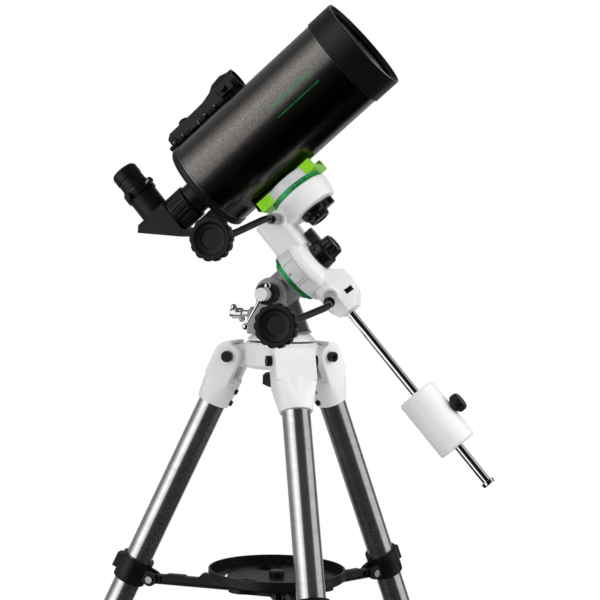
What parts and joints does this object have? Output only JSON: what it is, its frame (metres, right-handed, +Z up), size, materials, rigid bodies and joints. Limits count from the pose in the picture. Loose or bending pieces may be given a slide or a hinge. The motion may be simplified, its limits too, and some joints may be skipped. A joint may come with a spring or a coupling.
{
  "type": "maksutov telescope on an equatorial mount and tripod",
  "caption": "Compact black Maksutov telescope with star diagonal and red-dot finder, on a white equatorial mount with counterweight and a steel tripod with an accessory tray.",
  "frame": {"origin": "on the floor, under the middle of the space that the object takes up in its home position; the tripod's vertical axis is 59.5 mm along +X", "axes": "+Z up; +X the way the polar axis and the tube point; the operator's side, with the drive knobs, is -Y"},
  "size_m": [0.6259, 0.65, 1.0381],
  "materials": {
    "stainless": "satin",
    "chrome": "polished",
    "white_paint": "gloss",
    "grey_paint": "satin",
    "machined_aluminium": "machined",
    "green_anodised": "anodised satin",
    "green_circle": "anodised satin",
    "tube_paint": "gloss metallic",
    "black_metal": "matt",
    "black_plastic": "matt",
    "black_gloss_plastic": "gloss",
    "rubber": "matt",
    "bronze": "machined",
    "steel": "satin",
    "coated_glass": "polished",
    "mirror": "polished"
  },
  "bodies": {
    "tripod_head": {"tripod_hub": "white_paint", "leg_hinge_bolts": "black_metal"},
    "leg_1": {"leg_bracket_1": "white_paint", "upper_leg_1": "stainless", "leg_fittings_1": "black_plastic"},
    "lower_leg_1": {"lower_leg_1": "stainless"},
    "lock_knob_1": {"leg_lock_knob_1": "black_plastic"},
    "arm_1": {"spreader_arm_1": "black_plastic"},
    "leg_2": {"leg_bracket_2": "white_paint", "upper_leg_2": "stainless", "leg_fittings_2": "black_plastic"},
    "lower_leg_2": {"lower_leg_2": "stainless"},
    "lock_knob_2": {"leg_lock_knob_2": "black_plastic"},
    "arm_2": {"spreader_arm_2": "black_plastic"},
    "leg_3": {"leg_bracket_3": "white_paint", "upper_leg_3": "stainless", "leg_fittings_3": "black_plastic"},
    "lower_leg_3": {"lower_leg_3": "stainless"},
    "lock_knob_3": {"leg_lock_knob_3": "black_plastic"},
    "arm_3": {"spreader_arm_3": "black_plastic"},
    "spreader": {"spreader_hub": "black_plastic", "accessory_tray": "black_plastic"},
    "azimuth_head": {"azimuth_base": "white_paint", "altitude_fork": "grey_paint"},
    "azimuth_lock": {"azimuth_lock_knob": "black_plastic"},
    "polar_axis": {"polar_housing": "grey_paint"},
    "altitude_clamp": {"altitude_clamp": "chrome"},
    "altitude_screw": {"altitude_screw": "chrome"},
    "ra_circle": {"ra_setting_circle": "green_circle"},
    "ra_head": {"ra_housing": "white_paint", "ra_index_ring": "machined_aluminium", "drive_cables": "black_gloss_plastic", "counterweight_shaft": "chrome"},
    "ra_clutch": {"ra_clutch_lever": "black_gloss_plastic"},
    "ra_worm": {"ra_worm": "chrome"},
    "ra_wheel": {"ra_worm_wheel": "bronze"},
    "ra_knob": {"ra_control_knob": "black_plastic"},
    "dec_circle": {"dec_setting_circle": "green_circle"},
    "dec_axis": {"dec_head": "machined_aluminium", "saddle": "green_anodised"},
    "dec_clutch": {"dec_clutch_lever": "black_gloss_plastic"},
    "dec_worm": {"dec_worm": "chrome"},
    "dec_wheel": {"dec_worm_wheel": "bronze"},
    "dec_knob": {"dec_control_knob": "black_plastic"},
    "saddle_knob": {"saddle_knob": "black_plastic"},
    "saddle_jaw": {"saddle_jaw": "green_anodised"},
    "counterweight": {"counterweight": "white_paint"},
    "counterweight_knob": {"counterweight_knob": "black_plastic"},
    "optical_tube": {"main_tube": "tube_paint", "front_cell": "black_metal", "corrector_lens": "coated_glass", "rear_cell": "black_metal", "baffle_tube": "black_metal", "dovetail_bar": "black_metal", "finder_base": "black_plastic"},
    "mirror": {"primary_mirror": "mirror"},
    "focus_knob": {"focus_knob": "rubber"},
    "star_diagonal": {"star_diagonal": "black_metal"},
    "eyepiece": {"eyepiece": "black_metal"},
    "finder": {"finder_body": "black_plastic"}
  },
  "joints": [
    {"name": "leg_1_fold", "type": "hinge", "parent": "tripod_head", "child": "leg_1", "pos_m": [0.0022, 0, 0.63338], "axis": [0, -1, 0], "range_deg": [0, 9.5]},
    {"name": "lower_leg_1_extend", "type": "slide", "parent": "leg_1", "child": "lower_leg_1", "axis": [-0.4258, 0, -0.9048], "range_m": [0, 0.36]},
    {"name": "lock_knob_1_turn", "type": "hinge", "parent": "leg_1", "child": "lock_knob_1", "pos_m": [-0.27275, 0, 0.11954], "axis": [-0.9048, 0, 0.4258], "range_deg": [-180, 180]},
    {"name": "arm_1_swing", "type": "hinge", "parent": "leg_1", "child": "arm_1", "pos_m": [-0.0969, 0, 0.36172], "axis": [0, -1, 0], "range_deg": [0, 41.12]},
    {"name": "leg_2_fold", "type": "hinge", "parent": "tripod_head", "child": "leg_2", "pos_m": [0.08815, -0.04962, 0.63338], "axis": [0.866, 0.5, 0], "range_deg": [0, 9.5]},
    {"name": "lower_leg_2_extend", "type": "slide", "parent": "leg_2", "child": "lower_leg_2", "axis": [0.2129, -0.3687, -0.9048], "range_m": [0, 0.36]},
    {"name": "lock_knob_2_turn", "type": "hinge", "parent": "leg_2", "child": "lock_knob_2", "pos_m": [0.22562, -0.28774, 0.11954], "axis": [0.4524, -0.7836, 0.4258], "range_deg": [-180, 180]},
    {"name": "arm_2_swing", "type": "hinge", "parent": "leg_2", "child": "arm_2", "pos_m": [0.1377, -0.13545, 0.36172], "axis": [0.866, 0.5, 0], "range_deg": [0, 41.12]},
    {"name": "leg_3_fold", "type": "hinge", "parent": "tripod_head", "child": "leg_3", "pos_m": [0.08815, 0.04962, 0.63338], "axis": [-0.866, 0.5, 0], "range_deg": [0, 9.5]},
    {"name": "lower_leg_3_extend", "type": "slide", "parent": "leg_3", "child": "lower_leg_3", "axis": [0.2129, 0.3687, -0.9048], "range_m": [0, 0.36]},
    {"name": "lock_knob_3_turn", "type": "hinge", "parent": "leg_3", "child": "lock_knob_3", "pos_m": [0.22562, 0.28774, 0.11954], "axis": [0.4524, 0.7836, 0.4258], "range_deg": [-180, 180]},
    {"name": "arm_3_swing", "type": "hinge", "parent": "leg_3", "child": "arm_3", "pos_m": [0.1377, 0.13545, 0.36172], "axis": [-0.866, 0.5, 0], "range_deg": [0, 41.12]},
    {"name": "spreader_rise", "type": "slide", "parent": "tripod_head", "child": "spreader", "axis": [0, 0, 1], "range_m": [0, 0.08516]},
    {"name": "azimuth", "type": "hinge", "parent": "tripod_head", "child": "azimuth_head", "pos_m": [0.0595, 0, 0.65338], "axis": [0, 0, 1], "continuous": true},
    {"name": "azimuth_lock_turn", "type": "hinge", "parent": "tripod_head", "child": "azimuth_lock", "pos_m": [0.0595, 0, 0.60838], "axis": [0, 0, 1], "range_deg": [-180, 180]},
    {"name": "altitude", "type": "hinge", "parent": "azimuth_head", "child": "polar_axis", "pos_m": [0.0545, 0, 0.70788], "axis": [0, -1, 0], "range_deg": [-10, 25]},
    {"name": "altitude_clamp_turn", "type": "hinge", "parent": "azimuth_head", "child": "altitude_clamp", "pos_m": [0.0545, 0, 0.70788], "axis": [0, -1, 0], "range_deg": [-60, 60]},
    {"name": "altitude_screw_travel", "type": "slide", "parent": "azimuth_head", "child": "altitude_screw", "axis": [1, 0, 0], "range_m": [-0.004, 0.01]},
    {"name": "ra_circle_turn", "type": "hinge", "parent": "polar_axis", "child": "ra_circle", "pos_m": [0.07547, 0, 0.72643], "axis": [0.749, 0, 0.6626], "continuous": true},
    {"name": "ra_axis", "type": "hinge", "parent": "polar_axis", "child": "ra_head", "pos_m": [0.08446, 0, 0.73438], "axis": [0.749, 0, 0.6626], "range_deg": [-90, 90]},
    {"name": "ra_clutch_turn", "type": "hinge", "parent": "ra_head", "child": "ra_clutch", "pos_m": [0.10243, 0, 0.75029], "axis": [0.749, 0, 0.6626], "range_deg": [-40, 40]},
    {"name": "ra_worm_turn", "type": "hinge", "parent": "ra_head", "child": "ra_worm", "pos_m": [0.11511, 0.01231, 0.71634], "axis": [0.2266, -0.9397, -0.2562], "continuous": true},
    {"name": "ra_wheel_turn", "type": "hinge", "parent": "ra_head", "child": "ra_wheel", "pos_m": [0.0897, 0, 0.73902], "axis": [0.749, 0, 0.6626], "continuous": true},
    {"name": "ra_knob_turn", "type": "hinge", "parent": "ra_head", "child": "ra_knob", "pos_m": [0.1013, -0.149, 0.67852], "axis": [0, -1, 0], "continuous": true},
    {"name": "dec_circle_turn", "type": "hinge", "parent": "ra_head", "child": "dec_circle", "pos_m": [0.07484, 0, 0.82735], "axis": [-0.6626, 0, 0.749], "continuous": true},
    {"name": "dec_axis", "type": "hinge", "parent": "ra_head", "child": "dec_axis", "pos_m": [0.08544, 0, 0.81537], "axis": [-0.6626, 0, 0.749], "continuous": true},
    {"name": "dec_clutch_turn", "type": "hinge", "parent": "ra_head", "child": "dec_clutch", "pos_m": [0.09605, 0, 0.80338], "axis": [-0.6626, 0, 0.749], "range_deg": [-35, 35]},
    {"name": "dec_worm_turn", "type": "hinge", "parent": "ra_head", "child": "dec_worm", "pos_m": [0.06043, 0, 0.79324], "axis": [0, -1, 0], "continuous": true},
    {"name": "dec_wheel_turn", "type": "hinge", "parent": "ra_head", "child": "dec_wheel", "pos_m": [0.08544, 0, 0.81537], "axis": [-0.6626, 0, 0.749], "continuous": true},
    {"name": "dec_knob_turn", "type": "hinge", "parent": "ra_head", "child": "dec_knob", "pos_m": [0.02645, -0.149, 0.76931], "axis": [0, -1, 0], "continuous": true},
    {"name": "saddle_knob_turn", "type": "hinge", "parent": "dec_axis", "child": "saddle_knob", "pos_m": [0.06557, 0.038, 0.83383], "axis": [0, 1, 0], "range_deg": [0, 740]},
    {"name": "saddle_jaw_travel", "type": "slide", "parent": "dec_axis", "child": "saddle_jaw", "axis": [0, 1, 0], "range_m": [0, 0.0025]},
    {"name": "counterweight_travel", "type": "slide", "parent": "ra_head", "child": "counterweight", "axis": [-0.6626, 0, 0.749], "range_m": [-0.048, 0.1]},
    {"name": "counterweight_knob_turn", "type": "hinge", "parent": "counterweight", "child": "counterweight_knob", "pos_m": [0.26832, 0, 0.58995], "axis": [0.749, 0, 0.6626], "range_deg": [-180, 180]},
    {"name": "tube_balance", "type": "slide", "parent": "dec_axis", "child": "optical_tube", "axis": [0.749, 0, 0.6626], "range_m": [-0.02, 0.02]},
    {"name": "focus_turn", "type": "hinge", "parent": "optical_tube", "child": "focus_knob", "pos_m": [-0.02223, 0, 0.79461], "axis": [0.749, 0, 0.6626], "range_deg": [-1850, 1850]},
    {"name": "mirror_focus", "type": "slide", "parent": "optical_tube", "child": "mirror", "axis": [0.749, 0, 0.6626], "range_m": [-0.005, 0.005]},
    {"name": "diagonal_turn", "type": "hinge", "parent": "optical_tube", "child": "star_diagonal", "pos_m": [-0.07388, 0, 0.79564], "axis": [0.749, 0, 0.6626], "continuous": true},
    {"name": "eyepiece_pull", "type": "slide", "parent": "star_diagonal", "child": "eyepiece", "axis": [-0.6626, 0, 0.749], "range_m": [0, 0.02]},
    {"name": "finder_tilt", "type": "hinge", "parent": "optical_tube", "child": "finder", "pos_m": [-0.08295, 0.02318, 0.88286], "axis": [-0.2048, -0.9511, 0.2314], "range_deg": [0, 3]}
  ],
  "couplings": [
    {"joint": "arm_1_swing", "follows": "leg_1_fold", "ratio": 4.3279},
    {"joint": "leg_2_fold", "follows": "leg_1_fold", "ratio": 1},
    {"joint": "arm_2_swing", "follows": "leg_1_fold", "ratio": 4.3279},
    {"joint": "leg_3_fold", "follows": "leg_1_fold", "ratio": 1},
    {"joint": "arm_3_swing", "follows": "leg_1_fold", "ratio": 4.3279},
    {"joint": "spreader_rise", "follows": "leg_1_fold", "m_per_rad": 0.51303},
    {"joint": "altitude_screw_travel", "follows": "altitude", "m_per_rad": 0.0225},
    {"joint": "ra_wheel_turn", "follows": "ra_worm_turn", "ratio": 0.011111},
    {"joint": "ra_knob_turn", "follows": "ra_worm_turn", "ratio": 1},
    {"joint": "dec_wheel_turn", "follows": "dec_worm_turn", "ratio": 0.011111},
    {"joint": "dec_knob_turn", "follows": "dec_worm_turn", "ratio": 1},
    {"joint": "saddle_knob_turn", "follows": "saddle_jaw_travel", "rad_per_m": 5026.5},
    {"joint": "focus_turn", "follows": "mirror_focus", "rad_per_m": 6283.2}
  ]
}
